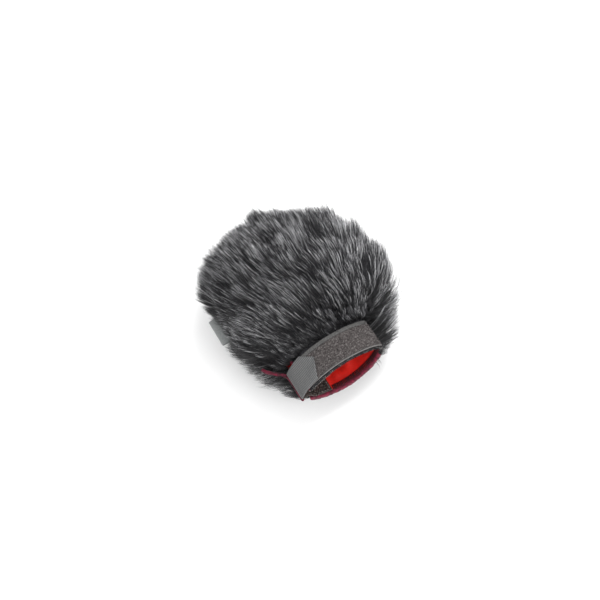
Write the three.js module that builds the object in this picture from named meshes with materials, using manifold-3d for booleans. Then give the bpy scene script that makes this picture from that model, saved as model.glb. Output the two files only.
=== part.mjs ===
// Furry windscreen for a handheld recorder: a two-panel faux-fur bag with a fabric lining, whose lens-shaped
// neck is closed by a hook-and-loop strap.
//
// Millimetres. The bag lies on its underside: +Z is up, the mouth faces -Y, the crown is at +Y and X runs
// across the neck. Working heights are measured from the resting surface, and working depths from the rim.
// The finished group is moved so that its origin is the bottom centre of the bounding box.

import * as THREE from "three";
import { mergeVertices } from "three/addons/utils/BufferGeometryUtils.js";
import Module from "manifold-3d";

const wasm = await Module();
wasm.setup();

// ---------------------------------------------------------------- driving dimensions

// The cavity, measured inside the lining
const neckHalfWidth = 31.5;
const neckRise = 11.2; // of the upper lip over the line between the neck's tips
const neckDrop = 18.5; // of the lower lip under it
const neckRoundness = 1.75; // superellipse power: under 2 gives the neck its lens shape
const bodyHalfWidth = 51;
const bodyHalfHeight = 36;
const bodyRoundness = 2.15;
const cavityDepth = 138; // from the rim plane to the inside of the crown
const seamHeight = 46; // of the plane in which the two fur panels meet, above the resting surface

// Fabrics and tapes
const liningThickness = 0.8;
const furPile = 18; // height of the fur over its backing
const neckPile = 6; // the same where the pile is trimmed round the neck
const collarThickness = 1.2;
const tapeWidth = 25; // hook-and-loop tape
const tapeThickness = 1.4;
const labelWidth = 25;
const labelThickness = 1.4;
const threadThickness = 0.5;
const bindingWall = 0.7; // one layer of the binding tape
const gap = 0.3; // between pieces that touch

// Places along the neck, from the rim
const rimElasticWidth = 3.2;
const rimBindingWidth = 3;
const innerElasticWidth = 4;
const furFlareFront = 10; // where the lower fur starts to swell
const neckBeyondStrap = 0.5; // straight stretch of the neck behind the strap
const furBeyondStrap = 2.5; // from the strap to the upper fur
const collarUnderFur = 4; // that the collar goes on under the upper fur

// The slit in the left side of the neck, seen from above
const slitFrontInset = 4.5; // of the slit's upper edge from the neck's left tip, at the rim
const slitBackInset = 1.5; // the same where the neck ends
const slitBeyondNeck = 14; // that the slit goes on behind the neck
const slitSeamGap = 4; // from the slit's end to the start of the seam
const slitBindingWidth = 2.4;
const slitSplay = 17; // that the lower edge leans out from the neck's left tip by its end
const slitSplayFront = 12; // where it starts to
const slitFold = 5; // how far the slit's parting reaches up into the fur

// Strap and label
const strapBaseReach = 17; // of the strap inside the neck, across it from the left tip
const strapFrontReach = 13.5; // of the strap's folded end, to its front corner
const strapBackReach = 10.5; // to its back corner
const strapPointReach = 19.5; // to its point
const strapPointShift = 3; // of the point towards the crown
const labelDepth = 90; // centre of the label, from the rim
const labelLength = 15;
const labelPartingAngle = 18; // half angle of the parting in the pile round it, degrees
const threadRowInset = 2.4; // of a stitch row from a tape's edge

// Where bands round the neck end, as angles in radians from its nearer tip
const rimRowEnds = 0.2;
const innerElasticEnd = 0.12;
const loopTapeStart = 0.03;
const loopRowStart = 0.2;
const loopRowEnd = 0.08; // from the tape's own end
const tailStart = 0.16;

// Fineness of the curved surfaces
const aroundSteps = 40;
const lengthSteps = 14;
const bandSteps = 24; // round half of the neck
const slitSteps = 10;

// ---------------------------------------------------------------- derived layers, outward from the cavity

const liningOuter = liningThickness;
const backing = liningOuter + gap; // inner face of the fur panels and of the collar
const collarOuter = backing + collarThickness;
const loopInner = collarOuter + gap;
const loopOuter = loopInner + tapeThickness;
const tailMiddle = loopOuter + gap + tapeThickness / 2;
const baseMiddle = -(2 * gap + tapeThickness / 2);
const strapFront = rimElasticWidth + gap;
const strapBack = strapFront + tapeWidth;
const neckLength = strapBack + neckBeyondStrap;
const slitLength = neckLength + slitBeyondNeck;
const furTopFront = strapBack + furBeyondStrap;
const collarLength = furTopFront + collarUnderFur;
const furBottomFront = rimBindingWidth + gap;
const slitFrontX = -neckHalfWidth + slitFrontInset;
const slitBackX = -neckHalfWidth + slitBackInset;
const strapBaseX = -neckHalfWidth + strapBaseReach;
const strapTipX = -neckHalfWidth + strapPointReach;
const crownY = cavityDepth + backing + furPile;
const foldHeight = seamHeight + 2 * gap + tapeThickness / 2; // of the strap, where it leaves the slit
const foldX = -(neckHalfWidth + tailMiddle);
const strapTop = foldHeight + tapeThickness / 2;
const far = 400; // beyond every piece

// ---------------------------------------------------------------- solids from three.js geometry

function solidOf(geometry) {
  const bare = new THREE.BufferGeometry();
  bare.setAttribute("position", geometry.getAttribute("position"));
  bare.setIndex(geometry.index);
  const merged = mergeVertices(bare, 1e-4);
  return new wasm.Manifold(
    new wasm.Mesh({
      numProp: 3,
      vertProperties: new Float32Array(merged.attributes.position.array),
      triVerts: new Uint32Array(merged.index.array),
    }),
  );
}

function geometryOf(solid) {
  const mesh = solid.getMesh();
  const places = new Float32Array(mesh.numVert * 3);
  for (let i = 0; i < mesh.numVert; i++) {
    const start = i * mesh.numProp;
    places.set(mesh.vertProperties.subarray(start, start + 3), i * 3);
  }
  const geometry = new THREE.BufferGeometry();
  geometry.setAttribute("position", new THREE.BufferAttribute(places, 3));
  geometry.setIndex(new THREE.BufferAttribute(mesh.triVerts, 1));
  geometry.computeVertexNormals();
  return geometry;
}

function block(low, high) {
  const geometry = new THREE.BoxGeometry(high[0] - low[0], high[1] - low[1], high[2] - low[2]);
  geometry.translate((low[0] + high[0]) / 2, (low[1] + high[1]) / 2, (low[2] + high[2]) / 2);
  return solidOf(geometry);
}

// An outline in the XZ plane, carried along Y from front to back
function alongY(outline, front, back) {
  const geometry = new THREE.ExtrudeGeometry(new THREE.Shape(outline), {
    depth: back - front,
    bevelEnabled: false,
  });
  geometry.rotateX(Math.PI / 2);
  geometry.translate(0, back, 0);
  return solidOf(geometry);
}

// An outline in the XY plane, carried up from low to high
function upward(outline, low, high) {
  const geometry = new THREE.ExtrudeGeometry(new THREE.Shape(outline), {
    depth: high - low,
    bevelEnabled: false,
  });
  geometry.translate(0, 0, low);
  return solidOf(geometry);
}

const aboveSeam = block([-far, -far, seamHeight + gap / 2], [far, far, far]);
const belowSeam = block([-far, -far, -far], [far, far, seamHeight - gap / 2]);
const slab = (front, back) => block([-far, front, -far], [far, back, far]);

// ---------------------------------------------------------------- the bag's shape

// Half of a width or height at depth y. It is constant along the neck, then follows an ellipse to the crown.
function halfSize(y, neck, body, root, crown) {
  if (y <= root) return neck;
  const start = Math.sqrt(1 - (neck / body) ** 2);
  const along = -start + ((1 + start) * (y - root)) / (crown - root);
  return body * Math.sqrt(Math.max(0, 1 - along ** 2));
}

// The shape of the cavity, grown outwards by the same amount in every direction
function cavityShape(grown) {
  return {
    neckWide: neckHalfWidth + grown,
    neckRise: neckRise + grown,
    neckDrop: neckDrop + grown,
    wide: bodyHalfWidth + grown,
    high: bodyHalfHeight + grown,
    root: neckLength,
    crown: cavityDepth + grown,
  };
}

// The outer envelope of a fur panel, which starts to swell at depth root
function furShape(root) {
  return {
    ...cavityShape(backing + furPile),
    neckWide: neckHalfWidth + backing + neckPile,
    neckRise: neckRise + backing + neckPile,
    neckDrop: neckDrop + backing + neckPile,
    root,
  };
}

function roundnessAt(y, shape) {
  const t = THREE.MathUtils.smoothstep(y, shape.root, shape.root + neckLength);
  return THREE.MathUtils.lerp(neckRoundness, bodyRoundness, t);
}

function superellipse(cosine, sine, wide, rise, drop, roundness) {
  const power = 2 / roundness;
  return [
    wide * Math.sign(cosine) * Math.abs(cosine) ** power,
    (sine > 0 ? rise : -drop) * Math.abs(sine) ** power,
  ];
}

// Depths at which the surface has a ring of points: evenly spaced in angle along the ellipse
function ringDepths(front, shape) {
  const start = Math.sqrt(1 - (shape.neckWide / shape.wide) ** 2);
  const first = -Math.asin(start);
  const depths = front < shape.root ? [front] : [];
  for (let i = 0; i < lengthSteps; i++) {
    const angle = first + ((Math.PI / 2 - first) * i) / lengthSteps;
    const share = (Math.sin(angle) + start) / (1 + start);
    depths.push(shape.root + share * (shape.crown - shape.root));
  }
  return depths;
}

// A lathed unit tube whose rings are stretched to the bag's sections. It never reaches under the floor.
function bag(shape, front) {
  const depths = ringDepths(front, shape);
  const profile = [
    new THREE.Vector2(0, depths[0]),
    ...depths.map((y) => new THREE.Vector2(1, y)),
    new THREE.Vector2(0, shape.crown),
  ];
  const geometry = new THREE.LatheGeometry(profile, aroundSteps);
  const place = geometry.getAttribute("position");
  for (let i = 0; i < place.count; i++) {
    const y = place.getY(i);
    const wide = halfSize(y, shape.neckWide, shape.wide, shape.root, shape.crown);
    const rise = halfSize(y, shape.neckRise, shape.high, shape.root, shape.crown);
    const drop = halfSize(y, shape.neckDrop, shape.high, shape.root, shape.crown);
    const power = roundnessAt(y, shape);
    const [x, z] = superellipse(place.getX(i), place.getZ(i), wide, rise, drop, power);
    place.setXYZ(i, x, y, Math.max(0, seamHeight + z));
  }
  return solidOf(geometry);
}

// A point of the neck's section, grown outwards. Angle 0 is the right tip and 90 degrees the top.
function neckPoint(angle, grown) {
  const [x, z] = superellipse(
    Math.cos(angle),
    Math.sin(angle),
    neckHalfWidth + grown,
    neckRise + grown,
    neckDrop + grown,
    neckRoundness,
  );
  return new THREE.Vector2(x, seamHeight + z);
}

// The angle at which the section grown by that amount passes x, on its upper (1) or lower (-1) side
function angleAt(x, grown, side) {
  const share = Math.abs(x) / (neckHalfWidth + grown);
  return side * Math.acos(Math.sign(x) * share ** (neckRoundness / 2));
}

function neckCurve(from, to, grown) {
  const steps = Math.ceil((bandSteps * Math.abs(to - from)) / Math.PI);
  const points = [];
  for (let i = 0; i <= steps; i++) {
    points.push(neckPoint(THREE.MathUtils.lerp(from, to, i / steps), grown));
  }
  return points;
}

// A band that lies round the neck between two layers, from one angle to another
function neckBand(inner, outer, from, to, front, back) {
  const outline = [...neckCurve(from, to, outer), ...neckCurve(from, to, inner).reverse()];
  return alongY(outline, front, back);
}

// A strip of tape of even thickness along a line of points, as an outline
function stripOutline(points, thickness) {
  const line = new THREE.SplineCurve(points);
  const left = [];
  const right = [];
  for (let i = 0; i <= bandSteps; i++) {
    const point = line.getPointAt(i / bandSteps);
    const tangent = line.getTangentAt(i / bandSteps);
    const side = new THREE.Vector2(-tangent.y, tangent.x).multiplyScalar(thickness / 2);
    left.push(point.clone().add(side));
    right.push(point.clone().sub(side));
  }
  return [...left, ...right.reverse()];
}

// ---------------------------------------------------------------- the slit in the neck's left side

const slitApex = new THREE.Vector2(
  -halfSize(slitLength, neckHalfWidth, bodyHalfWidth, neckLength, cavityDepth) - liningOuter,
  slitLength,
);
const slitLine = [
  new THREE.Vector2(slitFrontX, 0),
  new THREE.Vector2(slitBackX, neckLength),
  slitApex,
];

// Everything to the left of the slit's upper edge, moved right by inset, seen from above
function slitOpening(inset, low, high) {
  const outline = [
    new THREE.Vector2(slitFrontX + inset, -far),
    ...slitLine.map((p) => new THREE.Vector2(p.x + inset, p.y)),
    new THREE.Vector2(slitApex.x + inset, slitLength + inset),
    new THREE.Vector2(-far, slitLength + inset),
    new THREE.Vector2(-far, -far),
  ];
  return upward(outline, low, high);
}

const slitThroughNeck = slitOpening(gap, seamHeight - gap, far);
const slitUnderFur = slitOpening(gap, seamHeight - gap, seamHeight + slitFold);

function slitBindingUpper(spare) {
  const endAt = (p) => p.y + (p === slitApex ? spare : 0);
  const ribbon = [
    ...slitLine.map((p) => new THREE.Vector2(p.x + spare, endAt(p))),
    ...slitLine.map((p) => new THREE.Vector2(p.x - slitBindingWidth - spare, endAt(p))).reverse(),
  ];
  return upward(ribbon, strapTop + gap - spare, far)
    .intersect(bag(cavityShape(collarOuter + bindingWall + spare), -1))
    .subtract(bag(cavityShape(-bindingWall - spare), -2));
}

// The binding on the slit's lower edge lies in the seam plane, from the neck's left tip, and leans out.
function slitBindingLower(spare) {
  const outer = [];
  const inner = [];
  for (let i = 0; i <= slitSteps; i++) {
    const y = (slitLength * i) / slitSteps;
    const lean = slitSplay * THREE.MathUtils.smoothstep(y, slitSplayFront, slitLength);
    const beyond = i === 0 ? -spare : i === slitSteps ? spare : 0;
    outer.push(new THREE.Vector2(-neckHalfWidth - collarOuter - bindingWall - lean - spare, y + beyond));
    inner.push(new THREE.Vector2(-neckHalfWidth - lean + spare, y + beyond));
  }
  return upward(
    [...outer, ...inner.reverse()],
    seamHeight - slitBindingWidth - spare,
    seamHeight - gap / 2 + spare,
  );
}

// ---------------------------------------------------------------- threads

// One row of stitches round the neck, sunk flush into a tape whose face lies there. The tape's groove for it
// is the same band with room to spare.
function stitchRow(face, from, to, y, spare) {
  const half = threadThickness / 2 + spare;
  const turn = spare / neckRise;
  return neckBand(face - threadThickness - spare, face + spare, from - turn, to + turn, y - half, y + half);
}

// A rectangle of stitches: two rows round the neck, and one along it at each end
function stitchFrame(face, from, to, front, back, spare) {
  const half = threadThickness / 2 + spare;
  const turn = half / neckRise;
  const along = (angle) =>
    neckBand(
      face - threadThickness - spare,
      face + spare,
      angle - turn,
      angle + turn,
      front - half,
      back + half,
    );
  return stitchRow(face, from, to, front, spare)
    .add(stitchRow(face, from, to, back, spare))
    .add(along(from))
    .add(along(to));
}

// The seam between the fur panels, from behind the collar round the crown to the slit. The panels have a
// groove for it, which is the same shape with room round it, open to their inner faces.
const seamRow = liningOuter + 2 * gap;
function seamThread(spare) {
  const half = threadThickness + spare;
  return bag(cavityShape(seamRow + 2 * threadThickness + spare), 0)
    .subtract(bag(cavityShape(seamRow - 2 * spare), -1))
    .intersect(
      block([-far, collarLength + 2 * gap - spare, seamHeight - half], [far, far, seamHeight + half]),
    )
    .subtract(block([-far, -far, 0], [0, slitLength + slitSeamGap - spare, far]));
}

// ---------------------------------------------------------------- sub-parts

function rimElasticUpper() {
  return neckBand(0, collarOuter, 0, Math.PI, 0, rimElasticWidth)
    .intersect(aboveSeam)
    .subtract(slitThroughNeck);
}

function rimBinding() {
  const slitEnd = block(
    [-far, -far, seamHeight - slitBindingWidth - gap],
    [-neckHalfWidth / 2, far, far],
  );
  return neckBand(-bindingWall, collarOuter + bindingWall, -Math.PI, 0, 0, rimBindingWidth)
    .intersect(belowSeam)
    .subtract(slitEnd)
    .subtract(rimStitching(gap));
}

function rimStitching(spare) {
  const face = -bindingWall + threadThickness;
  return stitchRow(face, rimRowEnds - Math.PI, -rimRowEnds, rimBindingWidth / 2, spare);
}

function rimElasticLower() {
  const from = angleAt(strapBaseX + 2 * gap, 0, -1);
  const front = rimBindingWidth + gap;
  const back = front + innerElasticWidth;
  return neckBand(-gap - bindingWall, -gap, from, -innerElasticEnd, front, back);
}

function lining(half, front) {
  return bag(cavityShape(liningOuter), front).subtract(bag(cavityShape(0), -1)).intersect(half);
}

const liningTop = () => lining(aboveSeam, strapFront).subtract(slitThroughNeck);
const liningBottom = () => lining(belowSeam, rimBindingWidth + gap).subtract(slitBindingLower(gap));

function collarBand() {
  return bag(cavityShape(collarOuter), strapFront)
    .subtract(bag(cavityShape(backing), -1))
    .intersect(aboveSeam)
    .intersect(slab(strapFront, collarLength))
    .subtract(slitThroughNeck);
}

const loopEnd = angleAt(slitFrontX + 2 * gap, loopInner, 1);

function loopTape() {
  return neckBand(loopInner, loopOuter, loopTapeStart, loopEnd, strapFront, strapBack)
    .intersect(aboveSeam)
    .subtract(loopStitching(gap));
}

function loopStitching(spare) {
  const front = strapFront + threadRowInset;
  const back = strapBack - threadRowInset;
  return stitchFrame(loopOuter, loopRowStart, loopEnd - loopRowEnd, front, back, spare);
}

// The strap lies inside the lower lip, passes out through the slit and folds back over the loop tape.
function strapBaseLine() {
  const from = angleAt(strapBaseX, baseMiddle, -1);
  const to = angleAt(slitFrontX, baseMiddle, -1);
  return [
    ...neckCurve(from, to, baseMiddle),
    new THREE.Vector2(-neckHalfWidth + tapeThickness, foldHeight - tapeThickness / 2),
    new THREE.Vector2(-neckHalfWidth - tapeThickness / 2, foldHeight),
    new THREE.Vector2(foldX - tapeThickness / 2, foldHeight),
  ];
}

function strapBase() {
  return alongY(stripOutline(strapBaseLine(), tapeThickness), strapFront, strapBack)
    .subtract(strapStitching(gap));
}

function strapStitching(spare) {
  const face = baseMiddle - tapeThickness / 2 + threadThickness;
  const from = angleAt(slitFrontX + threadRowInset, baseMiddle, -1);
  const to = angleAt(strapBaseX - threadRowInset / 2, baseMiddle, -1);
  const front = strapFront + threadRowInset;
  const back = strapBack - threadRowInset;
  return stitchFrame(face, from, to, front, back, spare);
}

function strapTail() {
  const from = angleAt(strapTipX, tailMiddle, 1);
  const to = Math.PI - tailStart;
  const half = tapeThickness / 2;
  const band = neckBand(tailMiddle - half, tailMiddle + half, from, to, strapFront, strapBack);
  const middle = (strapFront + strapBack) / 2;
  const pointed = [
    new THREE.Vector2(-far, strapFront),
    new THREE.Vector2(-neckHalfWidth + strapFrontReach, strapFront),
    new THREE.Vector2(strapTipX, middle + strapPointShift),
    new THREE.Vector2(-neckHalfWidth + strapBackReach, strapBack),
    new THREE.Vector2(-far, strapBack),
  ];
  return band.intersect(upward(pointed, strapTop + gap, far));
}

// The label is a ribbon folded double and sewn into the left side seam, clear of the seam's widest part.
const seamOuterAt = (y) =>
  halfSize(y, neckHalfWidth, bodyHalfWidth, neckLength, cavityDepth) + seamRow + 2 * threadThickness;
const labelPlaces = [labelDepth - labelWidth / 2, labelDepth, labelDepth + labelWidth / 2];
const labelRootX = -(Math.max(...labelPlaces.map(seamOuterAt)) + gap);
const labelTipX = labelRootX - labelLength;

function labelOutline() {
  const half = labelThickness / 2;
  const shape = new THREE.Shape();
  shape.moveTo(labelRootX, seamHeight - half);
  shape.lineTo(labelRootX, seamHeight + half);
  shape.lineTo(labelTipX + half, seamHeight + half);
  shape.absarc(labelTipX + half, seamHeight, half, Math.PI / 2, (3 * Math.PI) / 2);
  return shape.getPoints(6);
}

function label() {
  return alongY(labelOutline(), labelDepth - labelWidth / 2, labelDepth + labelWidth / 2)
    .subtract(labelStitching(gap));
}

function labelStitching(spare) {
  const top = seamHeight + labelThickness / 2;
  const x = labelRootX - threadRowInset;
  const half = labelWidth / 2 - threadRowInset / 2;
  return block(
    [x - threadThickness / 2 - spare, labelDepth - half - spare, top - threadThickness - spare],
    [x + threadThickness / 2 + spare, labelDepth + half + spare, top + spare],
  );
}

// The parting in the pile in which the label swings
function labelParting() {
  const half = labelThickness / 2 + gap;
  const reach = 2 * labelLength;
  const spread = half + reach * Math.tan(THREE.MathUtils.degToRad(labelPartingAngle));
  const outline = [
    new THREE.Vector2(labelRootX - reach, seamHeight - spread),
    new THREE.Vector2(labelRootX - reach, seamHeight + spread),
    new THREE.Vector2(labelRootX + gap, seamHeight + half),
    new THREE.Vector2(labelRootX + gap, seamHeight - half),
  ];
  const side = labelWidth / 2 + gap;
  return alongY(outline, labelDepth - side, labelDepth + side);
}

function furTop() {
  return bag(furShape(furTopFront - gap), furTopFront - gap)
    .subtract(bag(cavityShape(backing), -1))
    .subtract(bag(cavityShape(collarOuter + gap), -1).intersect(slab(-far, collarLength + gap)))
    .intersect(aboveSeam)
    .intersect(slab(furTopFront, far))
    .subtract(slitUnderFur)
    .subtract(slitBindingUpper(gap))
    .subtract(seamThread(gap))
    .subtract(labelParting());
}

function furBottom() {
  return bag(furShape(furFlareFront), furBottomFront)
    .subtract(bag(cavityShape(backing), -1))
    .intersect(belowSeam)
    .subtract(slitBindingLower(2 * gap))
    .subtract(seamThread(gap))
    .subtract(labelParting());
}

// ---------------------------------------------------------------- the assembly

const fabric = (color, roughness = 0.95) =>
  new THREE.MeshStandardMaterial({ color, roughness, metalness: 0 });
const materials = {
  fur: fabric(0x4a4a4e),
  lining: fabric(0xb81c14, 0.6),
  knit: fabric(0x242428),
  binding: fabric(0x7a1226, 0.8),
  loop: fabric(0x6c6664),
  hook: fabric(0x6e7272, 0.7),
  label: fabric(0x7d8080, 0.7),
  thread: fabric(0x8c8a88, 0.7),
  redThread: fabric(0x6a0f20, 0.7),
};

const windscreen = new THREE.Group();
windscreen.name = "furry_windscreen";
const parts = new THREE.Group();
parts.position.set(0, -crownY / 2, 0);
windscreen.add(parts);

function add(name, material, solid) {
  const mesh = new THREE.Mesh(geometryOf(solid), material);
  mesh.name = name;
  parts.add(mesh);
}

add("fur_top_panel", materials.fur, furTop());
add("fur_bottom_panel", materials.fur, furBottom());
add("lining_top_panel", materials.lining, liningTop());
add("lining_bottom_panel", materials.lining, liningBottom());
add("panel_seam_thread", materials.thread, seamThread(0));
add("collar_band", materials.knit, collarBand());
add("rim_elastic_upper", materials.knit, rimElasticUpper());
add("rim_elastic_lower", materials.knit, rimElasticLower());
add("rim_binding", materials.binding, rimBinding());
add("rim_binding_thread", materials.redThread, rimStitching(0));
add("slit_binding_upper", materials.binding, slitBindingUpper(0));
add("slit_binding_lower", materials.binding, slitBindingLower(0));
add("loop_tape", materials.loop, loopTape());
add("loop_tape_thread", materials.thread, loopStitching(0));
add("strap_base", materials.hook, strapBase());
add("strap_base_thread", materials.thread, strapStitching(0));
add("strap_tail", materials.hook, strapTail());
add("label", materials.label, label());
add("label_thread", materials.thread, labelStitching(0));

export default windscreen;
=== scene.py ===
"""Looks of the furry windscreen: its pile, linings, tapes and bindings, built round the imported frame.

Working lengths are millimetres in the frame's axes: -Y out of the mouth, +Y to the crown, +Z up. A depth is
measured from the rim along +Y. Layers grow outwards from the inner face of the lining. Meshes become metres
as they are made.
"""

import math

import bpy
import numpy as np
from mathutils import Matrix, Vector


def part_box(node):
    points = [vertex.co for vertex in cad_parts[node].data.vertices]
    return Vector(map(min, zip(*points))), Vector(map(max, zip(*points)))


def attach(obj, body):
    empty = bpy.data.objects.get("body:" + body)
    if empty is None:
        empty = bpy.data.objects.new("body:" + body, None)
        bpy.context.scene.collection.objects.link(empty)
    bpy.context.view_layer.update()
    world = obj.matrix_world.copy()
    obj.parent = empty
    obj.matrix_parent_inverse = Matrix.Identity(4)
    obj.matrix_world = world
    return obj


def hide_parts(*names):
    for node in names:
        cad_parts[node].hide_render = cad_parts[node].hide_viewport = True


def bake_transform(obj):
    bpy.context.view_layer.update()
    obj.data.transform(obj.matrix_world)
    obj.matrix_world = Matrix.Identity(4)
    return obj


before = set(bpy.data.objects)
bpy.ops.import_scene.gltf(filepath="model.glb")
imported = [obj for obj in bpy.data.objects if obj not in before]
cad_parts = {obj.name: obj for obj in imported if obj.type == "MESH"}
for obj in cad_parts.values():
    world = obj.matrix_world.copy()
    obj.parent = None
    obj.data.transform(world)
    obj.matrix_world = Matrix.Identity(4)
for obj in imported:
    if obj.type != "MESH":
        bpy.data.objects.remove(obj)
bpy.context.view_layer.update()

MM = 1000.0


# ---- sizes, from the frame and the fabrics

def corners(node):
    return [np.array(corner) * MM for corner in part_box(node)]


# Thicknesses.
LINING = 0.8
GAP = 0.3  # between layers
COLLAR = 0.9
TAPE = 1.1
BINDING = 0.7
# Faces and middles of layers, outwards from the lining's inner face.
BACKING = LINING + GAP
COLLAR_FACE = BACKING + COLLAR
LOOP_BACK = COLLAR_FACE + GAP
LOOP_FACE = LOOP_BACK + TAPE
STRAP_MIDDLE = LOOP_FACE + GAP + TAPE / 2
BASE_MIDDLE = -(2 * GAP + TAPE / 2)
NECK_ROUNDNESS = 1.75  # superellipse powers
BODY_ROUNDNESS = 2.15
SWAY_RIGHT = 9.0
SWAY_LEFT = 4.0

RIM_LOW, RIM_HIGH = corners("rim_binding")
UPPER_RIM_LOW, UPPER_RIM_HIGH = corners("rim_elastic_upper")
LINING_HIGH = np.maximum(corners("lining_top_panel")[1], corners("lining_bottom_panel")[1])
TAIL_LOW, TAIL_HIGH = corners("strap_tail")
BASE_LOW, BASE_HIGH = corners("strap_base")
LOOP_LOW = corners("loop_tape")[0]
FUR_LOW = corners("fur_top_panel")[0]
LABEL_LOW, LABEL_HIGH = corners("label")
SLIT_LOW, SLIT_HIGH = corners("slit_binding_lower")

RIM_Y = RIM_LOW[1]
SEAM_Z = (FUR_LOW[2] + corners("fur_bottom_panel")[1][2]) / 2
NECK_WIDE = RIM_HIGH[0] - COLLAR_FACE - BINDING
NECK_RISE = UPPER_RIM_HIGH[2] - SEAM_Z - COLLAR_FACE
NECK_DROP = SEAM_Z - RIM_LOW[2] - COLLAR_FACE - BINDING
BODY_WIDE = LINING_HIGH[0] - LINING
BODY_HIGH = LINING_HIGH[2] - SEAM_Z - LINING
CAVITY_DEPTH = LINING_HIGH[1] - RIM_Y - LINING
STRAP_FRONT = TAIL_LOW[1] - RIM_Y
STRAP_BACK = TAIL_HIGH[1] - RIM_Y
LOOP_SHIFT = 2.0  # how far the loop tape lies in front of the strap
LOOP_FRONT = STRAP_FRONT - LOOP_SHIFT
LOOP_END = STRAP_BACK - LOOP_SHIFT
NECK_LENGTH = STRAP_BACK + 0.5
FUR_FRONT = FUR_LOW[1] - RIM_Y
RIM_WIDTH = RIM_HIGH[1] - RIM_Y
UPPER_RIM_WIDTH = UPPER_RIM_HIGH[1] - RIM_Y
SLIT_LENGTH = SLIT_HIGH[1] - RIM_Y


# ---- the bag's surface

def smoothstep(t):
    t = np.clip(t, 0, 1)
    return t * t * (3 - 2 * t)


def lerp(a, b, t):
    return a + (b - a) * t


def unit(vectors):
    return vectors / np.maximum(np.linalg.norm(vectors, axis=-1, keepdims=True), 1e-9)


def half_size(depth, neck, body, crown):
    """Half of a width or height. It is constant along the neck, then follows an ellipse to the crown."""
    start = np.sqrt(1 - (neck / body) ** 2)
    along = -start + (1 + start) * (depth - NECK_LENGTH) / (crown - NECK_LENGTH)
    swollen = body * np.sqrt(np.clip(1 - along ** 2, 0, 1))
    return np.where(depth <= NECK_LENGTH, neck, swollen)


def section(depth, grown):
    """Half width, rise, drop and superellipse power of the bag's section at a depth, grown outwards."""
    crown = CAVITY_DEPTH + grown
    wide = half_size(depth, NECK_WIDE + grown, BODY_WIDE + grown, crown)
    rise = half_size(depth, NECK_RISE + grown, BODY_HIGH + grown, crown)
    drop = half_size(depth, NECK_DROP + grown, BODY_HIGH + grown, crown)
    power = lerp(NECK_ROUNDNESS, BODY_ROUNDNESS, smoothstep((depth - NECK_LENGTH) / NECK_LENGTH))
    return wide, rise, drop, power


def crown_share(depth):
    """0 along the neck, rising to 1 at the crown."""
    return np.clip((depth - NECK_LENGTH) / (CAVITY_DEPTH - NECK_LENGTH), 0, 1)


def sway(depth):
    """How far the bag leans: to the right behind the neck, and back to the left at the crown."""
    share = crown_share(depth)
    return smoothstep(share / 0.12) * lerp(SWAY_RIGHT, -SWAY_LEFT, share ** 0.7)


def surface(depth, angle, grown):
    """Points of the surface. Angle 0 is its right side, a quarter turn is its top."""
    depth, angle, grown = np.broadcast_arrays(depth, angle, grown)
    wide, rise, drop, power = section(depth, grown)
    cosine, sine = np.cos(angle), np.sin(angle)
    x = sway(depth) + wide * np.sign(cosine) * np.abs(cosine) ** (2 / power)
    z = np.where(sine > 0, rise, drop) * np.sign(sine) * np.abs(sine) ** (2 / power)
    return np.stack([x, RIM_Y + depth, SEAM_Z + z], -1)


def outward(depth, angle, grown):
    """Unit normals of the surface, from the gradient of its superellipse."""
    step = 0.05
    depth = np.minimum(depth, CAVITY_DEPTH + grown - 2 * step)
    wide, rise, drop, power = section(depth, grown)
    wider, riser, dropper, _ = section(depth + step, grown)
    place = surface(depth, angle, grown)
    x, z = place[..., 0] - sway(depth), place[..., 2] - SEAM_Z
    high = np.where(z > 0, rise, drop)
    higher = np.where(z > 0, riser, dropper)
    across = np.abs(x / wide) ** (power - 1) * np.sign(x) / wide
    up = np.abs(z / high) ** (power - 1) * np.sign(z) / high
    along = -(across * x * (wider - wide) / wide + up * z * (higher - high) / high) / step
    return unit(np.stack([across, along, up], -1))


def angle_at(x, grown, side):
    """The angle at which the neck grown by that amount passes x, on its upper (1) or lower (-1) side."""
    share = min(1.0, abs(x) / (NECK_WIDE + grown))
    return side * math.acos(math.copysign(share ** (NECK_ROUNDNESS / 2), x))


# ---- noise

class Ripples:
    """Smooth noise of about unit strength: waves of one length in random directions."""

    def __init__(self, seed, wavelength, waves=9):
        rng = np.random.default_rng(seed)
        self.steps = unit(rng.normal(size=(waves, 3))) * 2 * math.pi / wavelength
        self.steps *= rng.uniform(0.7, 1.4, (waves, 1))
        self.phases = rng.uniform(0, 2 * math.pi, waves)
        self.strength = math.sqrt(2 / waves)

    def __call__(self, points):
        return np.sin(points @ self.steps.T + self.phases).sum(-1) * self.strength


# ---- meshes

def link(name, mesh, material, body="bag"):
    obj = bpy.data.objects.new(name, mesh)
    bpy.context.scene.collection.objects.link(obj)
    mesh.materials.append(material)
    if body:
        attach(obj, body)
    return obj


def mesh_of(name, places, faces):
    mesh = bpy.data.meshes.new(name)
    mesh.from_pydata((np.asarray(places) / MM).tolist(), [], [list(map(int, f)) for f in faces])
    mesh.validate()
    mesh.shade_smooth()
    return mesh


def piece(name, shape, material, slot, *nodes, body="bag"):
    """A piece made of (places, faces), which replaces those CAD nodes."""
    obj = link(name, mesh_of(name, *shape), material, body)
    if nodes:
        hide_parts(*nodes)
    return obj


def grid_faces(rows, columns, wrap_columns=False, start=0):
    """Quads of a grid of points, rows by columns, whose first point has the number start."""
    i = np.arange(rows - 1)
    j = np.arange(columns if wrap_columns else columns - 1)
    i, j = (a.ravel() for a in np.meshgrid(i, j, indexing="ij"))
    i2, j2 = i + 1, (j + 1) % columns
    corner = [i * columns + j, i * columns + j2, i2 * columns + j2, i2 * columns + j]
    return np.stack(corner, -1) + start


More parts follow.
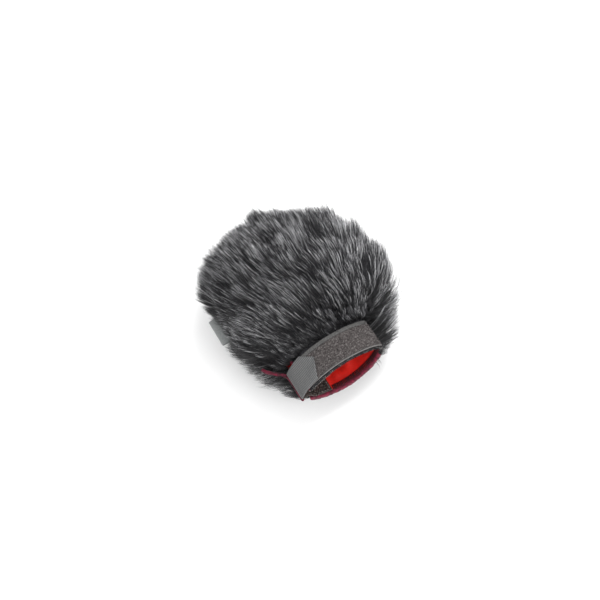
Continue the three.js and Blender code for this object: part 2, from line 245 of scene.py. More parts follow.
def shell(outer, inner):
    """A closed sheet between two grids of points of the same size, as places and faces."""
    rows, columns = outer.shape[:2]
    count = rows * columns
    faces = [grid_faces(rows, columns)[:, ::-1], grid_faces(rows, columns, start=count)]
    index = np.arange(count).reshape(rows, columns)
    border = np.concatenate([index[0, :-1], index[:-1, -1], index[-1, :0:-1], index[:0:-1, 0]])
    following = np.roll(border, -1)
    faces.append(np.stack([border, following, following + count, border + count], -1))
    places = np.concatenate([outer.reshape(-1, 3), inner.reshape(-1, 3)])
    return places, np.concatenate(faces)


def tube(path, radius, sides=6):
    """A round tube along a path of points, with flat ends."""
    path = np.asarray(path, float)
    count = len(path)
    tangent = unit(np.gradient(path, axis=0))
    rough = np.where(np.abs(tangent[:, 2:]) < 0.9, [[0, 0, 1]], [[1, 0, 0]])
    first = unit(np.cross(tangent, rough))
    second = np.cross(tangent, first)
    turn = np.arange(sides) * 2 * math.pi / sides
    radius = np.broadcast_to(radius, count)[:, None, None]
    ring = first[:, None] * np.cos(turn)[:, None] + second[:, None] * np.sin(turn)[:, None]
    places = (path[:, None] + ring * radius).reshape(-1, 3)
    return places, tube_faces(count, sides)


def tube_faces(rings, sides):
    """Faces of a tube and its two ends. Its rings turn right-handed about its direction."""
    first = list(range(sides))[::-1]
    last = list(range((rings - 1) * sides, rings * sides))
    return grid_faces(rings, sides, wrap_columns=True).tolist() + [first, last]


def joined(parts):
    """Several (places, faces) as one."""
    places, faces, start = [], [], 0
    for part_places, part_faces in parts:
        places.append(part_places)
        faces.extend([[corner + start for corner in face] for face in part_faces])
        start += len(part_places)
    return np.concatenate(places), faces


def rounded(points):
    """A line of points with its corners cut round, by cutting them three times."""
    points = np.asarray(points, float)
    for _ in range(3):
        early = 0.75 * points[:-1] + 0.25 * points[1:]
        late = 0.25 * points[:-1] + 0.75 * points[1:]
        between = np.stack([early, late], 1).reshape(-1, points.shape[1])
        points = np.concatenate([points[:1], between, points[-1:]])
    return points


def run_of(path):
    """The distance along a line at each of its points."""
    return np.concatenate([[0], np.cumsum(np.linalg.norm(np.diff(path, axis=0), axis=1))])


def read(values, at, where):
    """Rows of values that are given at some distances, read at other distances."""
    return np.stack([np.interp(where, at, column) for column in values.T], -1)


def sweep(path, up, wide, high, sides=20, power=2.6):
    """A round-ended strip along a path: a superelliptic section of those half sizes, high towards up."""
    path = np.asarray(path, float)
    tangent = unit(np.gradient(path, axis=0))
    side = unit(np.cross(up, tangent))
    upright = np.cross(tangent, side)
    turn = np.arange(sides) * 2 * math.pi / sides
    across = np.sign(np.cos(turn)) * np.abs(np.cos(turn)) ** (2 / power)
    above = np.sign(np.sin(turn)) * np.abs(np.sin(turn)) ** (2 / power)
    run = run_of(path)
    from_end = np.minimum(run, run[-1] - run)
    full = np.sqrt(np.clip(1 - (1 - np.minimum(from_end / high, 1)) ** 2, 0.1, 1))[:, None, None]
    ring = side[:, None] * (across * wide)[:, None] + upright[:, None] * (above * high)[:, None]
    places = (path[:, None] + ring * full).reshape(-1, 3)
    return places, tube_faces(len(path), sides)


# Pitch, length and radius of the stitches.
EDGE_STITCH = (1.7, 1.15, 0.17)
BINDING_STITCH = (2.3, 1.6, 0.2)
TAPE_STITCH = (2.7, 2.1, 0.19)
STRAP_STITCH = (2.4, 1.7, 0.2)
LABEL_STITCH = (2.4, 1.8, 0.18)
SEAM_STITCH = (3.2, 2.6, 0.3)


def stitch_row(path, up, stitch):
    """Short stitches along a path, each a tube whose ends dip in. up points away from the cloth."""
    pitch, length, radius = stitch
    up = np.broadcast_to(up, path.shape)
    run = run_of(path)
    rise = np.array([-1.2, 0.5, 0.9, 0.5, -1.2]) * radius
    parts = []
    for start in np.arange(pitch * 0.3, run[-1] - length, pitch):
        along = start + np.linspace(0, length, len(rise))
        raised = unit(read(up, run, along)) * rise[:, None]
        parts.append(tube(read(path, run, along) + raised, radius))
    return joined(parts)


def eased(distance, radius):
    """How far a rounded edge has dropped at a distance from the edge, for a rounding radius."""
    inside = np.clip(1 - distance / radius, 0, 1)
    return radius * (1 - np.sqrt(1 - inside ** 2))


# ---- the strap's line

SLIT_X = UPPER_RIM_LOW[0]  # of the slit's upper edge, at the rim
STRAP_HALF = 0.6  # half thickness of the woven tape
RIB_PITCH = 1.2  # of the ribs on the strap's back
FOLD_Z = SEAM_Z + 2 * GAP + TAPE / 2
FOLD_X = BASE_LOW[0]
TIP_X = TAIL_HIGH[0]


def strap_line():
    """The strap's line in X and Z: inside the lower lip, out at the left tip, back over the tape."""
    base = np.linspace(angle_at(BASE_HIGH[0], BASE_MIDDLE, -1), angle_at(SLIT_X, BASE_MIDDLE, -1), 14)
    tail = np.linspace(math.pi - 0.31, angle_at(TIP_X, STRAP_MIDDLE, 1), 24)
    fold = [
        (FOLD_X + 6.8, FOLD_Z - 0.5),
        (FOLD_X + 4.4, FOLD_Z),
        (FOLD_X + 2.2, FOLD_Z + 0.05),
        (FOLD_X + 1.0, FOLD_Z + 0.9),
        (FOLD_X + 1.9, FOLD_Z + 1.9),
    ]
    inside = surface(0.0, base, BASE_MIDDLE)[:, [0, 2]]
    outside = surface(0.0, tail, STRAP_MIDDLE)[:, [0, 2]]
    return rounded(np.concatenate([inside, fold, outside]))


STRAP_RUN = run_of(strap_line())[-1]


# ---- materials

class Surface:
    """A material with one Principled shader. Uniform values are set on the shader's own sockets."""

    def __init__(self, name, **sockets):
        self.material = bpy.data.materials.new(name)
        self.material.use_nodes = True
        self.tree = self.material.node_tree
        self.shader = self.tree.nodes["Principled BSDF"]
        for socket, value in sockets.items():
            self.shader.inputs[socket.replace("_", " ")].default_value = value

    def node(self, kind, **values):
        made = self.tree.nodes.new(kind)
        for key, value in values.items():
            setattr(made, key, value)
        return made

    def join(self, source, target):
        self.tree.links.new(source, target)

    def coordinates(self, scale=(1, 1, 1)):
        """Object coordinates in millimetres, stretched by scale."""
        place = self.node("ShaderNodeTexCoord")
        mapping = self.node("ShaderNodeMapping")
        mapping.inputs["Scale"].default_value = [MM * s for s in scale]
        self.join(place.outputs["Object"], mapping.inputs["Vector"])
        return mapping.outputs["Vector"]

    def strand_map(self):
        """The strand map's two coordinates, as outputs X and Y."""
        strand = self.node("ShaderNodeUVMap", uv_map="OFBake")
        parts = self.node("ShaderNodeSeparateXYZ")
        self.join(strand.outputs["UV"], parts.inputs[0])
        return parts

    def noise(self, wavelength, stretch=(1, 1, 1), detail=2.0):
        """Noise with features about that many millimetres across."""
        made = self.node("ShaderNodeTexNoise")
        made.inputs["Scale"].default_value = 1.0
        made.inputs["Detail"].default_value = detail
        self.join(self.coordinates([1 / (wavelength * s) for s in stretch]), made.inputs["Vector"])
        return made.outputs["Fac"]

    def ramp(self, source, *stops):
        """A colour ramp of (position, colour) stops."""
        made = self.node("ShaderNodeValToRGB")
        elements = made.color_ramp.elements
        while len(elements) < len(stops):
            elements.new(0.5)
        for element, (position, colour) in zip(elements, stops):
            element.position = position
            element.color = (*colour, 1)
        self.join(source, made.inputs["Fac"])
        return made.outputs["Color"]

    def multiplied(self, colour, shadow, share=1.0):
        """A colour multiplied by another, by a share of the full effect."""
        made = self.node("ShaderNodeMix", data_type="RGBA", blend_type="MULTIPLY")
        made.inputs[0].default_value = share
        self.join(colour, made.inputs[6])
        self.join(shadow, made.inputs[7])
        return made.outputs[2]

    def colour(self, source):
        self.join(source, self.shader.inputs["Base Color"])

    def bump(self, source, height):
        """Bump of that height in millimetres."""
        made = self.node("ShaderNodeBump")
        made.inputs["Distance"].default_value = height / MM
        made.inputs["Strength"].default_value = 1.0
        self.join(source, made.inputs["Height"])
        self.join(made.outputs["Normal"], self.shader.inputs["Normal"])


def grey(value, warmth=0.0):
    return (value * (1 + warmth), value, value * (1 - warmth))


def fur_material():
    """Colour from the strand map: u is the strand's shade and v runs from its root to its tip."""
    made = Surface("fur_pile", Roughness=0.42, Specular_IOR_Level=0.35)
    parts = made.strand_map()
    shade = made.ramp(
        parts.outputs["X"],
        (0.0, (0.008, 0.008, 0.010)),
        (0.35, (0.019, 0.019, 0.021)),
        (0.60, (0.070, 0.070, 0.075)),
        (0.80, (0.215, 0.215, 0.223)),
        (1.0, (0.560, 0.560, 0.570)),
    )
    along = made.ramp(
        parts.outputs["Y"],
        (0.0, grey(0.06)),
        (0.45, grey(0.25)),
        (0.68, grey(0.9)),
        (0.88, grey(1.6)),
        (1.0, grey(1.2)),
    )
    made.colour(made.multiplied(shade, along))
    return made.material


def fuzz_material(name, *stops):
    """Colour of short fibres from their shade in the strand map."""
    made = Surface(name, Roughness=0.85, Specular_IOR_Level=0.15)
    made.colour(made.ramp(made.strand_map().outputs["X"], *stops))
    return made.material


def grained(name, finish, wavelength, relief, *stops, stretch=(1, 1, 1), detail=1):
    """Cloth or thread that one noise colours and raises. finish is its roughness and specular level."""
    made = Surface(name, Roughness=finish[0], Specular_IOR_Level=finish[1])
    grain = made.noise(wavelength, stretch, detail)
    made.colour(made.ramp(grain, *stops))
    made.bump(grain, relief)
    return made.material


def satin_material():
    made = Surface("lining_satin", Roughness=0.5, Specular_IOR_Level=0.35, Sheen_Weight=0.05)
    weave = made.noise(0.5, stretch=(4, 1, 1), detail=1)
    cloud = made.noise(14)
    tone = made.ramp(cloud, (0.3, (0.44, 0.008, 0.004)), (0.7, (0.62, 0.014, 0.007)))
    shadow = made.ramp(weave, (0.3, grey(0.6)), (0.7, grey(1.0)))
    made.colour(made.multiplied(tone, shadow, 0.35))
    made.bump(weave, 0.06)
    return made.material


def binding_material():
    made = Surface("crimson_binding", Roughness=0.65, Specular_IOR_Level=0.25, Sheen_Weight=0.1)
    weave = made.noise(0.5, stretch=(1.6, 1, 1), detail=2)
    tone = made.ramp(
        made.noise(2.6),
        (0.3, (0.030, 0.002, 0.007)),
        (0.5, (0.110, 0.005, 0.021)),
        (0.75, (0.230, 0.011, 0.042)),
    )
    shadow = made.ramp(weave, (0.35, grey(0.25)), (0.6, grey(1.0)))
    made.colour(made.multiplied(tone, shadow, 0.55))
    made.bump(weave, 0.15)
    return made.material


def loop_material():
    """Heathered grey-brown loops with dark and pale specks."""
    made = Surface("loop_face", Roughness=0.95, Specular_IOR_Level=0.1, Sheen_Weight=0.2)
    speck = made.noise(1.0, detail=4)
    cloud = made.noise(4)
    tone = made.ramp(
        speck,
        (0.30, (0.012, 0.010, 0.010)),
        (0.45, (0.050, 0.043, 0.042)),
        (0.58, (0.098, 0.087, 0.085)),
        (0.75, (0.200, 0.185, 0.182)),
    )
    shadow = made.ramp(cloud, (0.35, grey(0.55)), (0.65, grey(1.0)))
    made.colour(made.multiplied(tone, shadow, 0.4))
    made.bump(speck, 0.5)
    return made.material


def hook_back_material():
    """Light grey woven back of the strap, with painted shade between the ribs that its map counts."""
    made = Surface("hook_back", Roughness=0.62, Specular_IOR_Level=0.3)
    strap = made.node("ShaderNodeUVMap", uv_map="OFBake")
    stretched = made.node("ShaderNodeMapping")
    stretched.inputs["Scale"].default_value = (STRAP_RUN / RIB_PITCH, 0, 0)
    made.join(strap.outputs["UV"], stretched.inputs["Vector"])
    parts = made.node("ShaderNodeSeparateXYZ")
    made.join(stretched.outputs["Vector"], parts.inputs[0])
    turn = made.node("ShaderNodeMath", operation="MULTIPLY")
    turn.inputs[1].default_value = 2 * math.pi
    made.join(parts.outputs["X"], turn.inputs[0])
    wave = made.node("ShaderNodeMath", operation="COSINE")
    made.join(turn.outputs[0], wave.inputs[0])
    weave = made.noise(0.35, stretch=(1, 2.4, 1), detail=1)
    tone = made.ramp(weave, (0.3, (0.116, 0.117, 0.118)), (0.7, (0.180, 0.181, 0.182)))
    # Painted shade in the grooves, where the ribs' cosine is low.
    ribs = made.ramp(wave.outputs[0], (0.0, grey(0.45)), (0.6, grey(1.0)))
    made.colour(made.multiplied(tone, ribs))
    made.bump(weave, 0.1)
    return made.material


FUR = fur_material()
SATIN = satin_material()
CRIMSON = binding_material()
LOOP = loop_material()
HOOK_BACK = hook_back_material()
FUR_BACKING = grained(
    "fur_backing",
    (0.95, 0.1),
    0.9,
    0.3,
    (0.3, (0.004, 0.004, 0.005)),
    (0.7, (0.014, 0.014, 0.016)),
)
KNIT = grained(
    "ribbed_knit",
    (0.8, 0.25),
    0.45,
    0.2,
    (0.35, (0.008, 0.008, 0.010)),
    (0.6, (0.030, 0.030, 0.034)),
    (0.8, grey(0.09)),
    stretch=(1, 2.5, 1),
    detail=2,
)
MAROON = grained(
    "maroon_elastic",
    (0.8, 0.25),
    0.5,
    0.2,
    (0.35, (0.010, 0.003, 0.004)),
    (0.6, (0.060, 0.008, 0.012)),
    (0.8, (0.12, 0.02, 0.03)),
    detail=2,
)
OVERLOCK = grained(
    "overlock_thread",
    (0.7, 0.2),
    1.1,
    0.1,
    (0.42, (0.003, 0.003, 0.004)),
    (0.55, (0.020, 0.019, 0.019)),
    (0.68, (0.150, 0.145, 0.142)),
    detail=3,
)
SELVAGE = grained(
    "loop_selvage",
    (0.75, 0.2),
    0.4,
    0.12,
    (0.3, grey(0.045, 0.02)),
    (0.7, grey(0.100, 0.02)),
    stretch=(3, 1, 3),
)
HOOK_FACE = grained(
    "hook_face",
    (0.7, 0.3),
    0.7,
    0.4,
    (0.40, (0.012, 0.010, 0.009)),
    (0.54, (0.050, 0.040, 0.036)),
    (0.66, (0.120, 0.098, 0.090)),
    (0.80, (0.300, 0.270, 0.250)),
    detail=3,
)
LABEL = grained(
    "label_ribbon",
    (0.6, 0.3),
    0.35,
    0.08,
    (0.3, (0.19, 0.20, 0.20)),
    (0.7, (0.30, 0.31, 0.31)),
    stretch=(1, 3, 1),
)
LOOP_FUZZ = fuzz_material(
    "loop_fuzz",
    (0.0, (0.008, 0.007, 0.007)),
    (0.45, (0.062, 0.054, 0.053)),
    (0.8, (0.135, 0.123, 0.120)),
    (1.0, (0.300, 0.284, 0.278)),
)
HOOK_FUZZ = fuzz_material(
    "hook_fuzz",
    (0.0, (0.006, 0.005, 0.004)),
    (0.6, (0.040, 0.030, 0.026)),
    (0.85, (0.130, 0.105, 0.095)),
    (1.0, (0.420, 0.370, 0.340)),
)


def thread(name, dark, light):
    return grained(name, (0.6, 0.3), 0.3, 0.1, (0.35, dark), (0.65, light))


PALE_THREAD = thread("pale_thread", (0.10, 0.095, 0.092), (0.30, 0.285, 0.275))
DARK_THREAD = thread("dark_thread", (0.006, 0.006, 0.008), (0.075, 0.072, 0.072))
RED_THREAD = thread("red_thread", (0.05, 0.003, 0.008), (0.16, 0.012, 0.03))


# ---- camera, lights and floor

VIEW_ELEVATION = 58.0
VIEW_ROLL = 33.5
VIEW_DISTANCE = 1.08
VIEW_TARGET = Vector((0.0025, -0.0043, 0.046))
LENS = 85.0
SENSOR = 36.0
FLOOR_HALF = 3000


def make_camera():
    """The camera looks along +Y from above, rolled so that +X points right and up in the picture."""
    elevation, roll = math.radians(VIEW_ELEVATION), math.radians(VIEW_ROLL)
    back = Vector((0, -math.cos(elevation), math.sin(elevation)))
    level_up = Vector((0, math.sin(elevation), math.cos(elevation)))
    across = Vector((1, 0, 0))
    right = across * math.cos(roll) - level_up * math.sin(roll)
    up = across * math.sin(roll) + level_up * math.cos(roll)
    camera = bpy.data.objects.new("camera", bpy.data.cameras.new("camera"))
    camera.data.lens = LENS
    camera.data.sensor_width = SENSOR
    camera.data.clip_start = 0.01
    camera.matrix_world = Matrix.Translation(VIEW_TARGET + back * VIEW_DISTANCE) @ (
        Matrix((right, up, back)).transposed().to_4x4()
    )
    bpy.context.scene.collection.objects.link(camera)
    bpy.context.scene.camera = camera


LIGHT_SIZE = 0.5  # metres


def area_light(name, place, power):
    """A square light that faces the middle of the object."""
    light = bpy.data.objects.new(name, bpy.data.lights.new(name, "AREA"))
    light.data.size = LIGHT_SIZE
    light.data.energy = power
    light.location = place
    light.rotation_euler = (Vector(place) - VIEW_TARGET).to_track_quat("Z", "Y").to_euler()
    bpy.context.scene.collection.objects.link(light)


def make_studio():
    area_light("key_light", (0.62, 0.0, 1.0), 8.0)
    area_light("front_light", (0.25, -0.8, 0.65), 6.0)
    world = bpy.data.worlds.new("studio")
    world.use_nodes = True
    background = world.node_tree.nodes["Background"]
    background.inputs["Color"].default_value = (1, 1, 1, 1)
    background.inputs["Strength"].default_value = 1.05
    bpy.context.scene.world = world
    bpy.context.scene.view_settings.view_transform = "Standard"
    white = Surface("floor_paint", Roughness=0.9, Specular_IOR_Level=0.1)
    white.colour(white.ramp(white.noise(60), (0.3, grey(0.92)), (0.7, grey(0.94))))
    corner = FLOOR_HALF
    places = [[-corner, -corner, 0], [corner, -corner, 0], [corner, corner, 0], [-corner, corner, 0]]
    floor = mesh_of("floor", places, [[0, 1, 2, 3]])
    link("floor", floor, white.material, None)


# ---- pile

COLUMNS = 64  # shades of strand in the strand map


def strands(name, line, radius, shade, material):
    """One mesh of tapered three-sided strands. line is strands x points x 3, radius strands x points."""
    count, points = line.shape[:2]
    tangent = unit(np.gradient(line, axis=1))
    across = unit(np.cross(tangent, [0.31, 0.17, 0.94]))
    other = np.cross(tangent, across)
    turn = np.arange(3) * 2 * math.pi / 3
    ring = across[:, :-1, None] * np.cos(turn)[:, None] + other[:, :-1, None] * np.sin(turn)[:, None]
    body = (line[:, :-1, None] + ring * radius[:, :-1, None, None]).reshape(count, -1, 3)
    places = np.concatenate([body, line[:, -1:]], 1)
    rings = points - 1
    faces, across_map, along_map = [], [], []
    for k in range(rings - 1):
        for side in range(3):
            a, b = 3 * k + side, 3 * k + (side + 1) % 3
            faces += [(a, b, a + 3), (b, b + 3, a + 3)]
            across_map += [(side, side + 1, side), (side + 1, side + 1, side)]
            along_map += [(k, k, k + 1), (k, k + 1, k + 1)]
    last = 3 * (rings - 1)
    for side in range(3):
        faces.append((last + side, last + (side + 1) % 3, 3 * rings))
        across_map.append((side, side + 1, side + 0.5))
        along_map.append((rings - 1, rings - 1, rings))
    per_strand = 3 * rings + 1
    corner = (np.array(faces)[None] + np.arange(count)[:, None, None] * per_strand).ravel()
    column = np.minimum(np.floor(shade * COLUMNS), COLUMNS - 1)
    u = (column[:, None] + 0.1 + 0.8 * np.array(across_map).ravel() / 3) / COLUMNS
    v = np.broadcast_to(np.array(along_map).ravel() / rings, u.shape)
    mesh = bpy.data.meshes.new(name)
    mesh.vertices.add(count * per_strand)
    mesh.vertices.foreach_set("co", (places / MM).astype(np.float32).ravel())
    mesh.loops.add(len(corner))
    mesh.loops.foreach_set("vertex_index", corner.astype(np.int32))
    mesh.polygons.add(len(corner) // 3)
    mesh.polygons.foreach_set("loop_start", np.arange(0, len(corner), 3, dtype=np.int32))
    mesh.update(calc_edges=True)
    layer = mesh.uv_layers.new(name="OFBake")
    layer.data.foreach_set("uv", np.stack([u, v], -1).astype(np.float32).ravel())
    mesh.shade_smooth()
    return link(name, mesh, material)


def spread_roots(rng, count, front, low_angle, high_angle):
    """Random places on the backing, evenly by area times density: depths and angles."""
    neck = np.linspace(front, NECK_LENGTH, 12, endpoint=False)
    start = math.sqrt(1 - (NECK_WIDE / BODY_WIDE) ** 2)
    turn = np.linspace(-math.asin(start), math.pi / 2 - 0.02, 120)
    swell = NECK_LENGTH + (np.sin(turn) + start) / (1 + start) * (CAVITY_DEPTH + BACKING - NECK_LENGTH)
    depths = np.concatenate([neck, swell[swell > front]])
    angles = np.linspace(low_angle, high_angle, 161)
    grid = surface(depths[:, None], angles[None], BACKING)
    area = np.linalg.norm(np.cross(grid[1:, :-1] - grid[:-1, :-1], grid[:-1, 1:] - grid[:-1, :-1]), axis=-1)
    middle = (grid[1:, 1:] + grid[:-1, :-1]) / 2
    weight = (area * pile_density(middle)).ravel()
    cell = rng.choice(weight.size, count, p=weight / weight.sum())
    i, j = np.divmod(cell, len(angles) - 1)
    depth = lerp(depths[i], depths[i + 1], rng.random(count))
    return depth, lerp(angles[j], angles[j + 1], rng.random(count))


LEAN_WAVES = Ripples(11, 42)
YAW_WAVES = Ripples(12, 34)
LOCK_WAVES = Ripples(13, 16)
LENGTH_WAVES = Ripples(14, 21)
SHADE_WAVES = Ripples(15, 22)
STREAK_WAVES = Ripples(16, 2.6, 16)


LABEL_SPOT = np.array([LABEL_HIGH[0] + 3, (LABEL_LOW[1] + LABEL_HIGH[1]) / 2 - 12, SEAM_Z + 5])
LABEL_TRIM = np.array([14.0, 17.0, 12.0])  # how far round that spot the pile is short
COWLICKS = (  # places near the crown, and how much longer or shorter the pile is there
    ((50.0, 23.0, 60.0), 0.26),
    ((33.0, 42.0, 62.0), -0.30),
    ((11.0, 54.0, 60.0), 0.20),
    ((-14.0, 58.0, 60.0), -0.12),
)
COWLICK_SIZE = 10.0
NECK_PILE = (10, 15)  # lengths on the upper and on the lower panel
BODY_PILE = (25, 26)
GAIN_RIGHT = 0.40  # greatest change of the pile's length on each side
GAIN_LEFT = 0.30
NAP = np.array([-0.16, 1.0, 0.0])  # the way the pile is combed
SAG = 0.22  # how much the tips droop


def pile_length(root):
    """Length of the guard hairs that grow there, in the bag's places."""
    depth = root[:, 1] - RIM_Y
    upper = root[:, 2] > SEAM_Z
    trimmed = np.where(upper, FUR_FRONT, RIM_WIDTH)
    grown = smoothstep((depth - trimmed + 2) / 18)
    length = lerp(np.where(upper, *NECK_PILE), np.where(upper, *BODY_PILE), grown)
    round_label = ((root - LABEL_SPOT) / LABEL_TRIM) ** 2
    trim = 1 - 0.62 * np.exp(-round_label.sum(-1))
    crown = 1 - 0.27 * smoothstep((crown_share(depth) - 0.55) / 0.35)
    waves = (0.08 + 0.12 * crown_share(depth)) * LENGTH_WAVES(root)
    for spot, gain in COWLICKS:
        waves = waves + gain * np.exp(-(((root - spot) / COWLICK_SIZE) ** 2).sum(-1))
    return length * trim * crown * (1 + waves + side_gain(root))


def side_gain(root):
    """Longer, steeper fur on the right behind the neck and on the left at the crown, and less opposite."""
    side = np.clip(root[:, 0] / BODY_WIDE, -1, 1)
    upper = root[:, 2] > SEAM_Z
    towards_neck = np.clip(1 - 2 * crown_share(root[:, 1] - RIM_Y), -0.45, 1)
    outwards = np.where(upper | (side > 0), side, -0.4 * side)
    return np.where(side > 0, GAIN_RIGHT, GAIN_LEFT) * outwards * towards_neck


def grow(rng, root, normal, length, segments, lift, curl):
    """Centre lines of strands. They start near the normal and lean over along the nap."""
    count = len(root)
    beside_mouth = (root[:, 2] < SEAM_Z) * smoothstep((root[:, 0] - 8) / 18)
    flat = lerp(1.0 - 0.65 * beside_mouth, 1.0, smoothstep((root[:, 1] - RIM_Y - 8) / 40))
    yaw = 0.11 * YAW_WAVES(root) + 0.09 * LOCK_WAVES(root)
    side = np.cross(normal, NAP)
    line = [root]
    wander = rng.normal(0, curl, (count, 3))
    for k in range(segments):
        t = (k + 0.5) / segments
        stand = lerp(1.15, lift, t ** 0.7) * (1 + 0.12 * LEAN_WAVES(root) + 1.4 * side_gain(root))
        way = normal * stand[:, None] + NAP * (flat * (0.35 + 0.8 * t))[:, None]
        way = way + side * (yaw * (0.3 + t))[:, None]
        way = way + wander * (0.5 + t)
        way[:, 2] -= SAG * t * t
        line.append(line[-1] + unit(way) * (length / segments)[:, None])
    return np.stack(line, 1)


def settle(line, rng):
    """Bends what would reach under the floor along it."""
    soft = 7.0  # height at which strands start to bend
    low = 0.35 + 1.2 * rng.random((len(line), 1))
    height = line[..., 2]
    pressed = low + (soft - low) * np.exp(np.minimum(height - soft, 0) / (soft - low))
    line[..., 2] = np.where(height < soft, pressed, height)
    return line


GUARD_LIFT = 0.42  # how steeply the hairs' tips stand
UNDERFUR_LIFT = 0.6
SEGMENTS = 5  # of a guard hair


def split_pile(name, order, pieces, line, radius, shade):
    """Strands in that order, as several pieces."""
    return [
        strands(f"{name}_{number}", line[part], radius[part], shade[part], FUR)
        for number, part in enumerate(np.array_split(order, pieces), 1)
    ]


def tufted_pile(name, seed, clumps, per_clump, pieces, front, low_angle, high_angle):
    """Guard hairs in tufts whose tips draw together, split by depth into several pieces."""
    rng = np.random.default_rng(seed)
    depth, angle = spread_roots(rng, clumps, front, low_angle, high_angle)
    centre = surface(depth, angle, BACKING)
    normal = outward(depth, angle, BACKING)
    spread = rng.uniform(0.9, 2.1, clumps)
    clump = np.repeat(np.arange(clumps), per_clump)
    count = len(clump)
    along = unit(np.cross(normal, [1.0, 0.3, 0.2]))
    across = np.cross(normal, along)
    offset = rng.normal(0, 0.6, (count, 2)) * spread[clump, None]
    root = centre[clump] + along[clump] * offset[:, :1] + across[clump] * offset[:, 1:]
    guide = grow(rng, centre, normal, pile_length(centre), SEGMENTS, GUARD_LIFT, 0.05)
    tuft_length = pile_length(centre)[clump] * rng.normal(1.0, 0.07, clumps)[clump]
    length = tuft_length * rng.uniform(0.72, 1.08, count)
    tilted = unit(normal[clump] + rng.normal(0, 0.05, (count, 3)))
    line = grow(rng, root, tilted, length, SEGMENTS, GUARD_LIFT, 0.08)
    t = np.linspace(0, 1, SEGMENTS + 1)[None, :, None]
    pull = rng.uniform(0.25, 0.75, clumps)[clump, None, None] * t ** 1.6
    target = guide[clump] + (line - guide[clump]) * 0.15
    line = settle(lerp(line, target, pull), rng)
    streak = STREAK_WAVES(root)
    cloud = SHADE_WAVES(root)
    # tone is a random shade per tuft, lowered towards the bag's left side: painted shade there, which also
    # leaves fewer silver hairs.
    tone = rng.normal(0, 1, clumps)[clump] - 0.6 * smoothstep((-root[:, 0] - 10) / 40)
    dark = 0.29 + 0.05 * cloud + 0.08 * streak + 0.07 * tone + rng.normal(0, 0.09, count)
    silver = rng.random(count) < np.clip(0.22 + 0.17 * streak + 0.16 * tone + 0.05 * cloud, 0, 0.85)
    # Strands within 6 mm of the fur's front edge are darker, silver ones too: painted shade of the gap
    # behind the loop tape.
    out_of_painted_shade = smoothstep((depth[clump] - front) / 6)
    pale = lerp(0.76, 0.87, out_of_painted_shade) + rng.normal(0, 0.08, count)
    shade = np.clip(np.where(silver, pale, dark * lerp(0.8, 1, out_of_painted_shade)), 0.02, 0.98)
    thick = np.where(silver, rng.uniform(0.16, 0.25, count), rng.uniform(0.12, 0.20, count))
    radius = thick[:, None] * np.linspace(1, 0.35, SEGMENTS + 1)[None] ** 0.8
    order = np.argsort(depth[clump] + rng.normal(0, 2, count))
    return split_pile(name, order, pieces, line, radius, shade)


def short_pile(name, seed, count, pieces, front, low_angle, high_angle):
    """Dark, shorter underfur that fills in under the guard hairs."""
    rng = np.random.default_rng(seed)
    depth, angle = spread_roots(rng, count, front, low_angle, high_angle)
    root = surface(depth, angle, BACKING)
    normal = unit(outward(depth, angle, BACKING) + rng.normal(0, 0.15, (count, 3)))
    length = pile_length(root) * rng.uniform(0.45, 0.7, count)
    line = settle(grow(rng, root, normal, length, 3, UNDERFUR_LIFT, 0.25), rng)
    radius = rng.uniform(0.16, 0.24, (count, 1)) * np.array([[1, 0.9, 0.7, 0.3]])
    shade = np.clip(rng.normal(0.22, 0.1, count) + 0.05 * SHADE_WAVES(root), 0.02, 0.9)
    return split_pile(name, np.argsort(depth), pieces, line, radius, shade)


def pile_density(places):
    """Share of full density: sparse where the label and the slit come out of the fur."""
    x, y, z = np.moveaxis(places, -1, 0)
    beside_label = (x < -40) & (y > LABEL_LOW[1] - 3) & (y < LABEL_HIGH[1] + 1) & (abs(z - SEAM_Z) < 5)
    beside_slit = (x < 0) & (y > RIM_Y) & (y < SLIT_HIGH[1]) & (z > SEAM_Z - 1) & (z < SEAM_Z + 6)
    return np.where(beside_label, 0.35, np.where(beside_slit, 0.45, 1.0))


EDGE = 0.012  # angle that the panels keep from the seam plane
BACKING_CLOTH = 0.9  # thickness


def fur_backing(name, node, lining, low_angle, high_angle, front, pile):
    """A fur panel's knitted backing, which lies on a lining under its pile. The arguments lining and pile
    are not used.
    """
    swell = np.linspace(max(front, NECK_LENGTH) + 0.5, CAVITY_DEPTH + BACKING, 40)
    depths = np.concatenate([[front], swell])[:, None]
    angles = np.linspace(low_angle, high_angle, 60)
    inner = surface(depths, angles, BACKING)
    outer = surface(depths, angles, BACKING + BACKING_CLOTH)
    obj = piece(name, shell(outer, inner), FUR_BACKING, "fur", node)


def make_fur():
    share = 1.0
    top = (EDGE, math.pi - EDGE)
    pile = tufted_pile("fur_top_pile", 21, int(4200 * share), 9, 6, FUR_FRONT, *top)
    pile += short_pile("fur_top_underfur", 22, int(15000 * share), 2, FUR_FRONT, *top)
    fur_backing("fur_top_backing", "fur_top_panel", "lining_top_panel", *top, FUR_FRONT, pile)
    bottom = (EDGE - math.pi, -EDGE)
    front = RIM_WIDTH + 0.5
    pile = tufted_pile("fur_bottom_pile", 23, int(3300 * share), 8, 4, front + 0.5, *bottom)
    pile += short_pile("fur_bottom_underfur", 24, int(11000 * share), 1, front + 0.5, *bottom)
    fur_backing("fur_bottom_backing", "fur_bottom_panel", "lining_bottom_panel", *bottom, front, pile)


# ---- linings

def slit_edge(depth, grown=0.0):
    """The angle at which the slit's upper edge cuts the upper side at a depth."""
    front = angle_at(SLIT_X + GAP, grown, 1)
    return lerp(front, math.pi - EDGE, smoothstep((depth - NECK_LENGTH) / (SLIT_LENGTH - NECK_LENGTH)))


